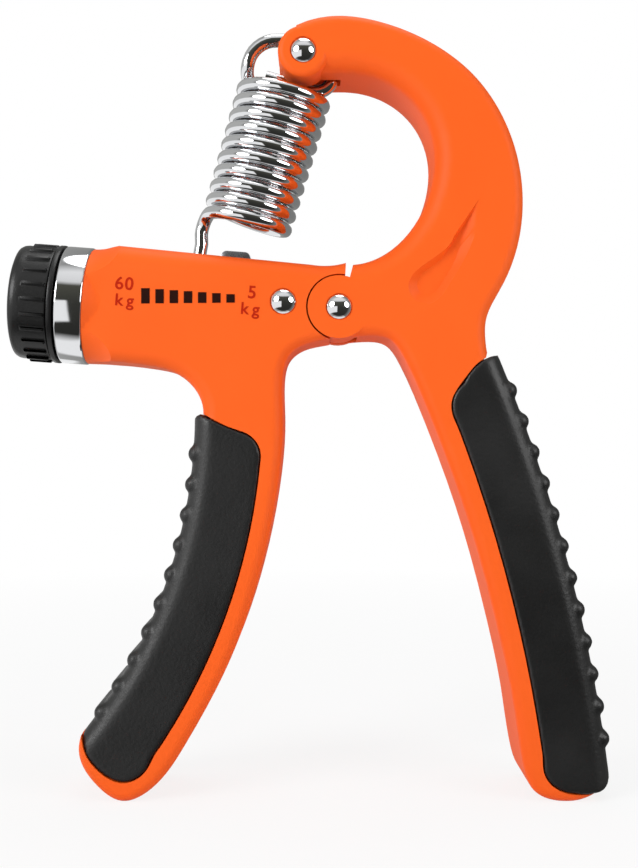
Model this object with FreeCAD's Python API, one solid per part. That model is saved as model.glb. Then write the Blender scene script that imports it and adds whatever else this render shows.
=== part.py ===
import FreeCAD, Part
import math
import os
from FreeCAD import Placement, Rotation, Vector

# Adjustable hand grip strengthener, in millimetres. It stands on the ends of its two handles.
# X runs to the right, Z up and Y to the back. The hinge, the rivets and the spring's loops turn about Y.

# Main sizes
HINGE_HEIGHT = 97.7            # hinge rivet above the ends of the handles
HOOK_RISE = 57.75              # top of the hook above the hinge rivet
HALF = 10.25                   # half the thickness of the two orange mouldings
DRAWN_HINGE = 97.7             # the outlines below are drawn for these two heights,
DRAWN_RISE = 57.75             # and other heights stretch them along Z
ARM_TILT = 4.2                 # the adjuster's axis falls by this angle towards the hinge
PIVOT_ALONG = 55.85            # hinge rivet from the adjuster's end face, along that axis
PIVOT_ABOVE = 2.7              # and square to it
HINGE_X = 6.85
ANCHOR_SPOT = (-0.2, 148.2)    # rivet that holds the spring's upper loop, X and Z


def drawn(points):
    """Fits points of the drawn outlines to the heights of the hinge and the hook."""
    fitted = []
    for x, z in points:
        if z < DRAWN_HINGE:
            fitted.append((x, z * HINGE_HEIGHT / DRAWN_HINGE))
        else:
            fitted.append((x, HINGE_HEIGHT + (z - DRAWN_HINGE) * HOOK_RISE / DRAWN_RISE))
    return fitted


PIVOT, ANCHOR = drawn([(HINGE_X, DRAWN_HINGE), ANCHOR_SPOT])

# Fits
RUN = 0.05                     # radial clearance of what turns or slides on a shaft
FIXED = 0.02                   # clearance of what is pressed or riveted in place
SEAM = 0.2                     # visible gap between a grip and its handle
SIDE = 0.3                     # clearance beside a part that moves

# Rivets, three alike
SHANK_R = 1.6
HEAD_R = 2.55
HEAD_T = 1.2
RECESS_R = 2.65
RECESS_DEPTH = 0.2

# Hinge
KNUCKLE_R = 6.2                # round end of the right moulding's two cheeks
SEAT_GAP = 0.3                 # between that round end and its seat in the left moulding
CHEEK_INSIDE = 5.5             # from the middle to each cheek
POCKET_R = 6.8                 # room for the tongue between the cheeks
TONGUE_R = 6.1
WASHER_T = 0.5
TONGUE_HALF = CHEEK_INSIDE - WASHER_T - 2 * RUN
PIVOT_WASHER_R = 5.0
HINGE_BUSH_R = 2.9

# Housing of the adjuster, in the axis's own directions: along it, and square to it
HOUSING_R = 11.7               # at the knob end
HOUSING_TOP_RISE = 0.4         # height of its top edge above the round end
HOUSING_TOP_END = 11.0         # height of the top edge above the axis, near the hinge
CHANNEL_HALF = 4.2             # half the width of the channel that the carriage slides in
CHANNEL_FLOOR = -4.6
CHANNEL_FROM = 10.5
CHANNEL_TO = 48.0
RING_LEN = 5.6
RING_R = HOUSING_R + 0.2
RING_EDGE_R = 0.5
SPIGOT_R = 9.6
SPIGOT_END = 0.6
COLLAR_TO = 11.2               # the housing's round end dies out in its flat faces here
FLARE_TO = 12.0                # and its corners are full from here
FLARE_R = HOUSING_R + 2.6

# Knob
KNOB_LEN = 9.0
KNOB_BACK = -0.3               # its flange stands off the chrome ring by this
KNOB_R = HOUSING_R - 0.2
FLANGE_R = HOUSING_R + 0.3
FLANGE_T = 1.0
GROOVE_T = 0.4
NOSE_LEN = 2.5
NOSE_ROUND = 1.2
KNOB_RIBS = 24
RIB_GROOVE_R = 0.75
HUB_R = 4.6
SHELL_T = 2.0
CAP_R = 6.5
CAP_T = 1.3
KNOB_WEB_T = 1.0
KNOB_SCREW_R = 1.25
KNOB_SCREW_HEAD_R = 2.4
KNOB_SCREW_HEAD_T = 1.6
KNOB_SCREW_DEPTH = 5.0

# Screw and what carries it
SCREW_R = 2.5
JOURNAL_R = 3.0                # plain part that turns in the front bush
SCREW_SHOULDER = -0.6
TAIL_R = 1.5                   # plain end that turns in the rear block
TAIL_LEN = 3.4
BUSH_R = 5.4
BUSH_FLANGE_AT = 0.0
BUSH_FLANGE_R = 6.8
BUSH_FLANGE_T = 1.2
CLIP_T = 0.7
CLIP_R = 4.4
CLIP_DEPTH = 0.4
BLOCK_FROM = 40.3
BLOCK_TO = CHANNEL_TO - FIXED
BLOCK_TOP = 5.5
BLOCK_LOW_TOP = 3.3
BLOCK_RIVET = (44.8, 2.9)

# Carriage: a nut on the screw with two ears, and a pin across them for the spring's lower loop
CARRIAGE_AT = 33.9             # its middle along the axis, near the light end of its travel
CARRIAGE_LEN = 8.0
NUT_TOP = 4.2
EAR_INSIDE = 1.7
EAR_LEN = 6.0
EAR_SHIFT = 0.4                # ears from the middle of the nut, towards the hinge
EAR_T = 1.9
EAR_TOP = 13.0
EAR_ROUND = 1.2
HOOK_PIN = (33.65, 7.68)
HOOK_PIN_R = 1.6

# Spring: close coils, with a closed loop above and an open loop below
COIL_SPOT = (-8.15, 128.65)    # middle of the coil, X and Z
COIL_MIDDLE = drawn([COIL_SPOT])[0]
COIL_TILT = 16.2
WIRE_R = 1.25
COIL_R_TOP = 8.4               # the coil narrows a little downwards
COIL_R_LOW = 7.95
TURNS = 10
FULL_TURN = 360.0
FRONT = 270.0                  # where the coil passes its front, from its left side
TURN_GAP = 0.45
LOOP_TURN = 22.0               # the coil leaves for each loop this far from its left side
LOOP_GAP = 0.3                 # between a loop and what it pulls on
TOP_LOOP_CORNER_R = 3.0
TOP_TIP = -4.6
TOP_LOOP_OUT = 0.5             # the upper loop bulges beyond the coil's left side by this,
LOW_LOOP_OUT = 0.5             # and the lower loop's leg by this
LOW_LOOP_R = 7.4
LOW_TIP = 1.4

# Spring end on the right moulding
HEAD_BOSS_R = 5.05
BOSS_EDGE_R = 1.2
SLOT_HALF = 2.2
SLOT_R = 8.3
SLEEVE_R = 3.0
SPACER_R = 4.0
SPACER_T = 0.5
SLEEVE_HALF = SLOT_HALF - SPACER_T - 2 * RUN

# Handles and grips
CORE_HALF = 7.0                # half the thickness of the handle inside its grip
CORE_INSET = 3.2               # grip's thickness over the handle's outer edge
EDGE_R = 2.2                   # rounding of the mouldings' edges
BELLY_EDGE_R = 3.0             # under the housing
HOOK_EDGE_R = 4.0              # hook's inner edges and the housing's top
GRIP_EDGE_R = 4.0
RIB_R = 1.8                    # finger ribs across the grips
RIB_PROUD = 0.9
RIB_HALF_LEN = 7.6
LEFT_RIBS = 10
LEFT_RIB_ENDS = (0.92, 1.19)   # from the grip's two ends to the ribs nearest them, in steps between ribs
RIGHT_RIBS = 12
RIGHT_RIB_ENDS = (1.13, 1.13)

# Drop-shaped recess in the hook's web
DROP_SPOT = (25.2, 103.6)
DROP_MIDDLE = drawn([DROP_SPOT])[0]
DROP_DEPTH = 1.3
DROP_FLOOR_SCALE = 0.62

Y_AXIS = Vector(0, 1, 0)
Z_AXIS = Vector(0, 0, 1)
X_AXIS = Vector(1, 0, 0)
TO_ORIGIN = Vector(-0.81, 0, -0.15)   # brings the middle of the overall box to X 0, and the feet to Z 0
FOOT_CUT = 0.15                # height of the small flats under the two handles, before that


def place(tilt, origin):
    return Placement(Vector(origin[0], 0, origin[1]), Rotation(Y_AXIS, tilt))


def turned(angle, point):
    """Turns a direction in the XZ plane by an angle about Y."""
    spun = Rotation(Y_AXIS, angle).multVec(Vector(point[0], 0, point[1]))
    return (spun.x, spun.z)


AXIS_DROP = turned(ARM_TILT, (PIVOT_ALONG, PIVOT_ABOVE))
ARM = place(ARM_TILT, (PIVOT[0] - AXIS_DROP[0], PIVOT[1] - AXIS_DROP[1]))
COIL = place(COIL_TILT, COIL_MIDDLE)


def in_arm(shape):
    shape.Placement = ARM.multiply(shape.Placement)
    return shape


def arm_point(along, above):
    point = ARM.multVec(Vector(along, 0, above))
    return (point.x, point.z)


# Outlines in the XZ plane

def at(point, y=0.0):
    return Vector(point[0], y, point[1])


def line(start, end):
    return Part.makeLine(at(start), at(end))


def arc(start, through, end):
    return Part.Arc(at(start), at(through), at(end)).toShape()


def curve(points):
    """A smooth curve through points."""
    spline = Part.BSplineCurve()
    spline.interpolate([at(p) for p in points])
    return spline.toShape()


def on_circle(centre, radius, degrees):
    """A point on a circle, with the angle from +X towards +Z."""
    turn = math.radians(degrees)
    return (centre[0] + radius * math.cos(turn), centre[1] + radius * math.sin(turn))


def prism(edges, low, high):
    wire = Part.Wire(Part.__sortEdges__(edges))
    wire.translate(Vector(0, low, 0))
    return Part.Face(wire).extrude(Vector(0, high - low, 0))


def round_over(solid, outline, radius):
    """Rounds the front and back edges that lie over the given edges of the outline."""
    picked = []
    for edge in solid.Edges:
        ends = [v.Y for v in edge.Vertexes]
        if len(ends) == 2 and abs(ends[0] - ends[1]) < 1e-6 and abs(ends[0]) > CORE_HALF:
            spot = edge.valueAt(0.5 * (edge.FirstParameter + edge.LastParameter))
            flat = Part.Vertex(spot.x, 0, spot.z)
            if abs(spot.y - ends[0]) < 1e-6 and any(flat.distToShape(e)[0] < 0.01 for e in outline):
                picked.append(edge)
    return solid.makeFillet(radius, picked)


# Simple solids

def rod(centre, radius, low, high):
    """A round bar along Y, from low to high."""
    return Part.makeCylinder(radius, high - low, at(centre, low), Y_AXIS)


def tube(centre, outer, inner, low, high):
    return rod(centre, outer, low, high).cut(rod(centre, inner, low, high))


def shaft(radius, start, end):
    """A round bar along the adjuster's axis, in its own directions."""
    return Part.makeCylinder(radius, end - start, Vector(start, 0, 0), X_AXIS)


def block(x_low, x_high, y_half, z_low, z_high):
    corner = Vector(x_low, -y_half, z_low)
    return Part.makeBox(x_high - x_low, 2 * y_half, z_high - z_low, corner)


def all_around(count):
    return [FULL_TURN * i / count for i in range(count)]


def rivet(centre, half):
    """A shank with a domed head over each face of a moulding that is 2 x half thick."""
    low = -half + RECESS_DEPTH
    shank = rod(centre, SHANK_R, low, -low)
    dome_r = (HEAD_R ** 2 + HEAD_T ** 2) / (2 * HEAD_T)
    ball = Part.makeSphere(dome_r, at(centre, low + dome_r - HEAD_T))
    head = ball.common(rod(centre, HEAD_R, low - HEAD_T, low))
    back = head.mirror(Vector(0, 0, 0), Y_AXIS)
    return shank.fuse([head, back]).removeSplitter()


def rivet_hole(centre, half, bore):
    hole = rod(centre, bore, -half - 1, half + 1)
    recess = rod(centre, RECESS_R, -half - 1, -half + RECESS_DEPTH)
    return hole.fuse([recess, recess.mirror(Vector(0, 0, 0), Y_AXIS)])


# Left moulding: the adjuster's housing and the left handle

LEFT_INNER = drawn([
    (2.5, 91.0), (-0.7, 90.0), (-3.1, 88.0), (-4.25, 84.0), (-4.2, 76.0), (-5.05, 63.5), (-8.5, 46.0),
    (-14.7, 27.9), (-24.0, 10.4), (-29.7, 2.9), (-36.0, 0.0), (-41.3, 3.3), (-44.5, 8.6), (-44.1, 13.3),
])
LEFT_OUTER = drawn([(-21.9, 76.0), (-27.4, 43.8), (-44.1, 13.3)])
LEFT_NECK = drawn([(-20.1, 76.6), (-21.2, 80.7), (-25.0, 84.4), (-31.8, 86.3), (-40.0, 87.1)])
LEFT_SEAM_TOP = drawn([(-20.6, 76.6), (-17.4, 75.0), (-12.6, 73.0)])
LEFT_SEAM_CORNER = drawn([(-12.6, 73.0), (-9.5, 70.9), (-8.8, 67.3)])
LEFT_SEAM_INNER = drawn([(-8.8, 67.3), (-13.05, 44.6), (-30.4, 8.4)])
LEFT_SEAM_LOW = drawn([(-30.4, 8.4), (-32.6, 5.2), (-35.4, 4.2), (-39.0, 5.4), (-43.2, 10.4)])


def left_edges(outer_inset):
    """The outline of the left moulding, with its handle's outer edge set in for the grip."""
    seat = KNUCKLE_R + SEAT_GAP
    top_left = arm_point(RING_LEN, HOUSING_R + HOUSING_TOP_RISE)
    top_right = arm_point(PIVOT_ALONG - 6.0, HOUSING_TOP_END)
    lip_top = (PIVOT[0] + 1.4, PIVOT[1] + 9.1)
    lip_bottom = on_circle(PIVOT, seat, 79)
    low_left = arm_point(RING_LEN, -HOUSING_R)
    seat_end = on_circle(PIVOT, seat, 254)
    outer = [(x + outer_inset, z) for x, z in LEFT_OUTER]
    visible = {
        "top": line(top_left, top_right),
        "brow": curve([top_right, (lip_top[0] - 3.0, lip_top[1] - 0.55), lip_top]),
        "inner": curve([seat_end] + LEFT_INNER),
        "belly": curve(LEFT_NECK + [low_left]),
    }
    hidden = {
        "end": line(low_left, top_left),
        "lip": line(lip_top, lip_bottom),
        "seat": arc(lip_bottom, on_circle(PIVOT, seat, 170), seat_end),
        "outer": arc(*outer),
        "shoulder": line(outer[0], LEFT_NECK[0]),
    }
    if outer_inset:
        hidden["toe"] = line(LEFT_INNER[-1], outer[2])
    return visible, hidden


def left_grip_edges():
    return [
        line(LEFT_OUTER[0], LEFT_SEAM_TOP[0]),
        curve(LEFT_SEAM_TOP),
        arc(*LEFT_SEAM_CORNER),
        arc(*LEFT_SEAM_INNER),
        curve(LEFT_SEAM_LOW),
        line(LEFT_SEAM_LOW[-1], LEFT_OUTER[2]),
        arc(LEFT_OUTER[2], LEFT_OUTER[1], LEFT_OUTER[0]),
    ]


# Right moulding: the hook arm and the right handle

RIGHT_INNER = drawn([
    (12.6, 92.1), (16.8, 91.4), (19.8, 87.6), (24.05, 78.2), (29.65, 63.6), (33.75, 51.1), (38.25, 34.0),
    (41.4, 19.0), (43.2, 7.6), (45.7, 1.8), (50.8, 0.0), (55.8, 0.7), (58.2, 2.1),
])
RIGHT_OUTER = drawn([(38.6, 88.4), (51.9, 49.6), (60.7, 5.0)])
HOOK_OUTER = drawn([
    (-1.6, 153.6), (6.4, 155.45), (15.6, 154.1), (24.6, 150.45), (33.65, 143.65), (39.6, 134.9),
    (42.8, 124.6), (42.75, 112.3), (39.1, 101.8), (36.0, 95.2), (35.85, 91.8), (36.2, 88.9),
])
HOOK_INNER = drawn([
    (9.7, 106.4), (15.7, 108.3), (21.5, 113.65), (25.1, 121.35), (25.75, 129.2),
    (22.8, 137.1), (16.85, 142.35), (9.5, 144.5), (3.0, 144.5), (-1.6, 144.8),
])
RIGHT_GRIP_TOP = drawn([(38.6, 88.4), (36.0, 87.6), (31.4, 82.6)])
RIGHT_SEAM_TOP = drawn([(31.4, 82.6), (29.2, 79.2), (29.9, 75.2)])
RIGHT_SEAM_INNER = drawn([(29.9, 75.2), (39.5, 46.0), (47.2, 8.0)])
RIGHT_SEAM_LOW = drawn([(47.2, 8.0), (48.0, 4.6), (50.9, 2.4), (55.4, 1.8), (59.2, 2.5), (60.7, 5.0)])


def right_edges(outer_inset):
    """The outline of the right moulding, with its handle's outer edge set in for the grip."""
    under = on_circle(PIVOT, KNUCKLE_R, -72)
    notch = on_circle(PIVOT, KNUCKLE_R, 70)
    core_top = (RIGHT_OUTER[0][0] - outer_inset, RIGHT_OUTER[0][1] - 2.0)
    core_mid = (RIGHT_OUTER[1][0] - outer_inset, RIGHT_OUTER[1][1])
    core_low = (RIGHT_OUTER[2][0] - outer_inset, RIGHT_OUTER[2][1])
    visible = {
        "hook_inner": curve(HOOK_INNER),
        "hook_outer": curve(HOOK_OUTER),
        "inner": curve([under] + RIGHT_INNER),
    }
    hidden = {
        "head": line(HOOK_INNER[-1], HOOK_OUTER[0]),
        "knuckle": arc(under, on_circle(PIVOT, KNUCKLE_R, 180), notch),
        "notch": line(notch, HOOK_INNER[0]),
        "waist": line(HOOK_OUTER[-1], core_top),
        "outer": arc(core_top, core_mid, core_low),
        "toe": line(core_low, RIGHT_INNER[-1]),
    }
    return visible, hidden


def right_grip_edges():
    return [
        curve(RIGHT_GRIP_TOP),
        arc(*RIGHT_SEAM_TOP),
        arc(*RIGHT_SEAM_INNER),
        curve(RIGHT_SEAM_LOW),
        arc(RIGHT_OUTER[2], RIGHT_OUTER[1], RIGHT_OUTER[0]),
    ]


DROP = drawn([
    (34.4, 118.9), (34.1, 113.6), (32.3, 108.6), (28.7, 102.3), (24.6, 98.2), (21.4, 99.1),
    (20.5, 102.2), (23.9, 106.2), (29.4, 111.6),
])


def drop_recess():
    """The recess in both faces of the hook's web: sloping sides down to a smaller floor."""
    centre = at(DROP_MIDDLE)
    cuts = []
    for side in (-1, 1):
        wires = []
        for scale, depth in ((1.0, -0.01), (DROP_FLOOR_SCALE, DROP_DEPTH)):
            points = [centre + (at(p) - centre) * scale for p in DROP]
            for point in points:
                point.y = side * (HALF - depth)
            ring = Part.BSplineCurve()
            ring.interpolate(points[1:], False)
            ends = [Part.makeLine(points[-1], points[0]), Part.makeLine(points[0], points[1])]
            wires.append(Part.Wire([ring.toShape()] + ends))
        cuts.append(Part.makeLoft(wires, True, True))
    return cuts


# Grips: a pad that wraps the front, outer edge and back of the handle's core

def seam_face(pad_edges):
    """The region that a grip needs in its handle: its outline, a little wider, and open outwards."""
    outer = pad_edges[-1]
    centre = Part.Wire(Part.__sortEdges__(pad_edges)).CenterOfMass
    spots = []
    for edge in pad_edges[:-1]:
        count = max(1, int(edge.Length / 2.5))
        span = edge.LastParameter - edge.FirstParameter
        for k in range(count):
            here = edge.FirstParameter + span * (k + 0.5) / count
            spots.append((edge.valueAt(here), edge.tangentAt(here).cross(Y_AXIS)))
    side = 1 if spots[len(spots) // 2][1].dot(centre - spots[len(spots) // 2][0]) < 0 else -1
    points = [spot + normal * (side * SEAM) for spot, normal in spots]
    points.insert(0, points[0] + (points[0] - points[1]).normalize() * 5)
    points.append(points[-1] + (points[-1] - points[-2]).normalize() * 5)
    spline = Part.BSplineCurve()
    spline.interpolate(points)
    mid = outer.valueAt(0.5 * (outer.FirstParameter + outer.LastParameter))
    beyond = mid + (mid - centre).normalize() * 40
    edges = [spline.toShape(), Part.makeLine(points[-1], beyond), Part.makeLine(beyond, points[0])]
    return Part.Face(Part.Wire(edges))


def core_tool(edges_of):
    """The handle's core, a little larger all round, to hollow the grip with."""
    visible, hidden = edges_of(CORE_INSET - RUN)
    return prism([*visible.values(), *hidden.values()], -CORE_HALF - RUN, CORE_HALF + RUN)


def finger_rib(middle, inward):
    """A bar with ball ends along Y, with its seam on the inward side."""
    low, high = middle - Y_AXIS * RIB_HALF_LEN, middle + Y_AXIS * RIB_HALF_LEN
    slant = inward * math.sqrt(0.5)
    half = Part.Wire([
        Part.Arc(low - Y_AXIS * RIB_R, low + (slant - Y_AXIS * math.sqrt(0.5)) * RIB_R, low + inward * RIB_R).toShape(),
        Part.makeLine(low + inward * RIB_R, high + inward * RIB_R),
        Part.Arc(high + inward * RIB_R, high + (slant + Y_AXIS * math.sqrt(0.5)) * RIB_R, high + Y_AXIS * RIB_R).toShape(),
        Part.makeLine(high + Y_AXIS * RIB_R, low - Y_AXIS * RIB_R),
    ])
    return Part.Face(half).revolve(middle, Y_AXIS, FULL_TURN)


def set_grip(body, core, pad_edges, ribs, rib_ends):
    """Makes room in a moulding for its grip. Gives the moulding with its core, and the ribbed grip."""
    room = seam_face(pad_edges)
    slabs = []
    for side in (-1, 1):
        slab = room.extrude(Vector(0, side * 2 * HALF, 0))
        slab.translate(Vector(0, side * CORE_HALF, 0))
        slabs.append(slab)
    body = body.cut(slabs)

    outer = pad_edges[-1]
    centre = Part.Wire(Part.__sortEdges__(pad_edges)).CenterOfMass
    pad = round_over(prism(pad_edges, -HALF, HALF), [outer], GRIP_EDGE_R)
    bars = []
    first, last = outer.FirstParameter, outer.LastParameter
    for i in range(ribs):
        spot_at = first + (last - first) * (i + rib_ends[0]) / (ribs - 1 + sum(rib_ends))
        spot = outer.valueAt(spot_at)
        inward = outer.tangentAt(spot_at).cross(Y_AXIS).normalize()
        if inward.dot(centre - spot) < 0:
            inward = inward * -1
        bars.append(finger_rib(spot + inward * (RIB_R - RIB_PROUD), inward))
    pad = pad.fuse(bars).cut(core)
    return body, pad


def cut_foot(body):
    """Gives a handle's rounded end a small flat to stand on."""
    box = body.BoundBox
    box.enlarge(SIDE)
    below = Part.makeBox(box.XLength, box.YLength, HALF, Vector(box.XMin, box.YMin, FOOT_CUT - HALF))
    return body.cut(below)


def spun(edges):
    """Turns a closed outline about the adjuster's axis."""
    return Part.Face(Part.Wire(edges)).revolve(Vector(0, 0, 0), X_AXIS, FULL_TURN)


def soft_arc(start, end):
    """An arc from start to end, in the axis's own directions, that ends or starts along the axis."""
    run, rise = abs(end[0] - start[0]), abs(end[1] - start[1])
    radius = (run ** 2 + rise ** 2) / (2 * rise)
    half_turn = 0.5 * math.asin(run / radius)
    dip = radius * (1 - math.cos(half_turn))
    across = radius * math.sin(half_turn)
    return across, dip


def housing_end():
    """The housing is round where it meets the ring. Gives the collar to add and the corners to cut."""
    thin = HALF - SEAM
    run, dip = soft_arc((RING_LEN, HOUSING_R), (COLLAR_TO, thin))
    collar = spun([
        Part.Arc(at((RING_LEN, HOUSING_R)), at((COLLAR_TO - run, thin + dip)), at((COLLAR_TO, thin))).toShape(),
        line((COLLAR_TO, thin), (COLLAR_TO, 0)),
        line((COLLAR_TO, 0), (RING_LEN, 0)),
        line((RING_LEN, 0), (RING_LEN, HOUSING_R)),
    ])
    run, dip = soft_arc((RING_LEN, HOUSING_R), (FLARE_TO, FLARE_R))
    beyond = 2 * FLARE_R
    corners = spun([
        Part.Arc(at((RING_LEN, HOUSING_R)), at((RING_LEN + run, HOUSING_R + dip)), at((FLARE_TO, FLARE_R))).toShape(),
        line((FLARE_TO, FLARE_R), (FLARE_TO, beyond)),
        line((FLARE_TO, beyond), (RING_LEN - 1, beyond)),
        line((RING_LEN - 1, beyond), (RING_LEN - 1, HOUSING_R)),
        line((RING_LEN - 1, HOUSING_R), (RING_LEN, HOUSING_R)),
    ])
    return collar, corners


def make_left():
    visible, hidden = left_edges(CORE_INSET)
    body = prism([*visible.values(), *hidden.values()], -HALF, HALF)
    body = round_over(body, [visible["top"], visible["brow"]], HOOK_EDGE_R)
    body = round_over(body, [visible["inner"]], EDGE_R)
    body = round_over(body, [visible["belly"]], BELLY_EDGE_R)
    collar, corners = housing_end()
    body = body.fuse(in_arm(collar)).cut(in_arm(corners))
    body, grip = set_grip(body, core_tool(left_edges), left_grip_edges(), LEFT_RIBS, LEFT_RIB_ENDS)

    # The tongue that the right moulding's two cheeks take between them
    near, far = 2 * TONGUE_R, 2.3 * TONGUE_R
    corners = [PIVOT, on_circle(PIVOT, near, 84), on_circle(PIVOT, far, 125), on_circle(PIVOT, far, 200)]
    corners.append(on_circle(PIVOT, near, 243))
    web = prism([line(a, b) for a, b in zip(corners, corners[1:] + corners[:1])], -TONGUE_HALF, TONGUE_HALF)
    web = web.common(rod(PIVOT, POCKET_R - SIDE, -HALF, HALF))
    tongue = web.fuse(rod(PIVOT, TONGUE_R, -TONGUE_HALF, TONGUE_HALF))
    body = body.fuse(tongue).cut(rod(PIVOT, HINGE_BUSH_R + FIXED, -HALF, HALF))

    # Seat of the chrome ring, the bush and the screw, then the carriage's channel
    spigot = shaft(SPIGOT_R, SPIGOT_END, CHANNEL_FROM)
    hollow = shaft(BUSH_FLANGE_R + FIXED, SPIGOT_END - 1, BUSH_FLANGE_AT + BUSH_FLANGE_T)
    hollow = hollow.fuse(shaft(BUSH_R + FIXED, SPIGOT_END - 1, CHANNEL_FROM + 1))
    channel = block(CHANNEL_FROM, CHANNEL_TO, CHANNEL_HALF, CHANNEL_FLOOR, 3 * HOUSING_R)
    body = body.fuse(in_arm(spigot)).cut([in_arm(hollow), in_arm(channel)])
    body = body.cut(rivet_hole(arm_point(*BLOCK_RIVET), HALF, SHANK_R + FIXED))
    return cut_foot(body).removeSplitter(), grip


def make_right():
    visible, hidden = right_edges(CORE_INSET)
    body = prism([*visible.values(), *hidden.values()], -HALF, HALF)
    body = round_over(body, [visible["hook_inner"]], HOOK_EDGE_R)
    body = round_over(body, [visible["hook_outer"]], EDGE_R)
    body = round_over(body, [visible["inner"]], EDGE_R)
    body, grip = set_grip(body, core_tool(right_edges), right_grip_edges(), RIGHT_RIBS, RIGHT_RIB_ENDS)
    boss = rod(ANCHOR, HEAD_BOSS_R, -HALF, HALF)
    boss = boss.makeFillet(BOSS_EDGE_R, [e for e in boss.Edges if len(e.Vertexes) == 1])
    body = body.fuse(boss)
    body = body.cut([
        rod(PIVOT, POCKET_R, -CHEEK_INSIDE, CHEEK_INSIDE),
        rivet_hole(PIVOT, HALF, SHANK_R + FIXED),
        rod(ANCHOR, SLOT_R, -SLOT_HALF, SLOT_HALF),
        rivet_hole(ANCHOR, HALF, SHANK_R + FIXED),
        *drop_recess(),
    ])
    return cut_foot(body).removeSplitter(), grip


# The adjuster

def make_chrome_ring():
    ring = shaft(RING_R, 0, RING_LEN - FIXED).cut(shaft(SPIGOT_R + FIXED, -1, RING_LEN + 1))
    rims = [e for e in ring.Edges if len(e.Vertexes) == 1 and abs(e.Curve.Radius - RING_R) < 1e-6]
    return ring.makeFillet(RING_EDGE_R, rims)


def make_front_bush():
    body = shaft(BUSH_FLANGE_R, BUSH_FLANGE_AT, BUSH_FLANGE_AT + BUSH_FLANGE_T)
    body = body.fuse(shaft(BUSH_R, BUSH_FLANGE_AT, CHANNEL_FROM - FIXED)).removeSplitter()
    return body.cut(shaft(JOURNAL_R + RUN, -5, CHANNEL_FROM + 5))


def make_end_block():
    half = CHANNEL_HALF - FIXED
    side = [
        (BLOCK_FROM, CHANNEL_FLOOR + FIXED), (BLOCK_TO, CHANNEL_FLOOR + FIXED), (BLOCK_TO, BLOCK_TOP),
        (BLOCK_FROM + 3.7, BLOCK_TOP), (BLOCK_FROM + 1.7, BLOCK_LOW_TOP), (BLOCK_FROM, BLOCK_LOW_TOP),
    ]
    body = prism([line(a, b) for a, b in zip(side, side[1:] + side[:1])], -half, half)
    bore = shaft(TAIL_R + RUN, BLOCK_FROM - 1, BLOCK_FROM - SIDE + TAIL_LEN + 0.2)
    return body.cut([bore, rod(BLOCK_RIVET, SHANK_R + FIXED, -HALF, HALF)])


def make_knob():
    front, back = KNOB_BACK - KNOB_LEN, KNOB_BACK
    flange = back - FLANGE_T
    rib_end = flange - GROOVE_T
    nose_end = front + NOSE_LEN
    shell = shaft(KNOB_R, front, rib_end)
    shell = shell.makeFillet(NOSE_ROUND, [e for e in shell.Edges if e.BoundBox.XMax < front + 0.01])
    cutters = []
    for turn in all_around(KNOB_RIBS):
        groove = Part.makeCylinder(RIB_GROOVE_R, rib_end - nose_end, Vector(nose_end, 0, KNOB_R), X_AXIS)
        groove = groove.fuse(Part.makeSphere(RIB_GROOVE_R, Vector(nose_end, 0, KNOB_R)))
        groove.rotate(Vector(0, 0, 0), X_AXIS, turn)
        cutters.append(groove)
    shell = shell.cut(cutters)
    shell = shell.fuse([
        shaft(KNOB_R - 2 * RIB_GROOVE_R, rib_end - 1, back),
        shaft(FLANGE_R, flange, back),
    ])
    inside = KNOB_R - SHELL_T - RIB_GROOVE_R
    web = front + CAP_T + KNOB_SCREW_HEAD_T + KNOB_WEB_T
    hub_end = SCREW_SHOULDER - FIXED
    hollow = shaft(inside, web, back + 1).cut(shaft(HUB_R, web - 1, hub_end))
    return shell.cut([
        hollow,
        shaft(CAP_R + FIXED, front - 1, front + CAP_T),
        shaft(KNOB_SCREW_HEAD_R + SEAM, front, front + CAP_T + KNOB_SCREW_HEAD_T),
        shaft(KNOB_SCREW_R + SEAM, front, 0),
        shaft(SCREW_R + FIXED, web, back + 1),
    ]).removeSplitter()


def make_knob_cap():
    front = KNOB_BACK - KNOB_LEN
    cap = shaft(CAP_R, front, front + CAP_T - FIXED)
    rim = [e for e in cap.Edges if e.BoundBox.XMax < front + 0.01]
    return cap.makeFillet(0.4, rim)


def make_knob_screw():
    head = KNOB_BACK - KNOB_LEN + CAP_T
    web = head + KNOB_SCREW_HEAD_T
    body = shaft(KNOB_SCREW_HEAD_R, head + SIDE, web - FIXED)
    body = body.fuse(shaft(KNOB_SCREW_R, head + SIDE, web + KNOB_WEB_T + KNOB_SCREW_DEPTH))
    socket = shaft(0.9, head, head + 1.0)
    return body.cut(socket)


def make_adjusting_screw():
    start = KNOB_BACK - KNOB_LEN + CAP_T + KNOB_SCREW_HEAD_T + KNOB_WEB_T + FIXED
    journal_end = CHANNEL_FROM + 2.0
    clip = CHANNEL_FROM + SEAM
    tail = BLOCK_FROM - SIDE
    body = shaft(SCREW_R, start, tail).fuse([
        shaft(JOURNAL_R, SCREW_SHOULDER, journal_end),
        shaft(TAIL_R, tail - 1, tail + TAIL_LEN),
    ])
    groove = shaft(JOURNAL_R + 1, clip - FIXED, clip + CLIP_T + FIXED)
    groove = groove.cut(shaft(JOURNAL_R - CLIP_DEPTH, clip - 1, clip + CLIP_T + 1))
    bore = shaft(KNOB_SCREW_R + FIXED, start - 1, start + KNOB_SCREW_DEPTH + 0.5)
    return body.cut([groove, bore]).removeSplitter()


def make_retaining_clip():
    start = CHANNEL_FROM + SEAM
    body = shaft(CLIP_R, start, start + CLIP_T)
    mouth = block(start - 1, start + 2, 1.9, 0, 2 * CLIP_R)
    return body.cut([shaft(JOURNAL_R - CLIP_DEPTH + FIXED, start - 1, start + 2), mouth])


def make_thrust_washer():
    start = SCREW_SHOULDER
    end = BUSH_FLANGE_AT - RUN
    return shaft(BUSH_FLANGE_R - 1, start, end).cut(shaft(JOURNAL_R + RUN, start - 1, end + 1))


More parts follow.
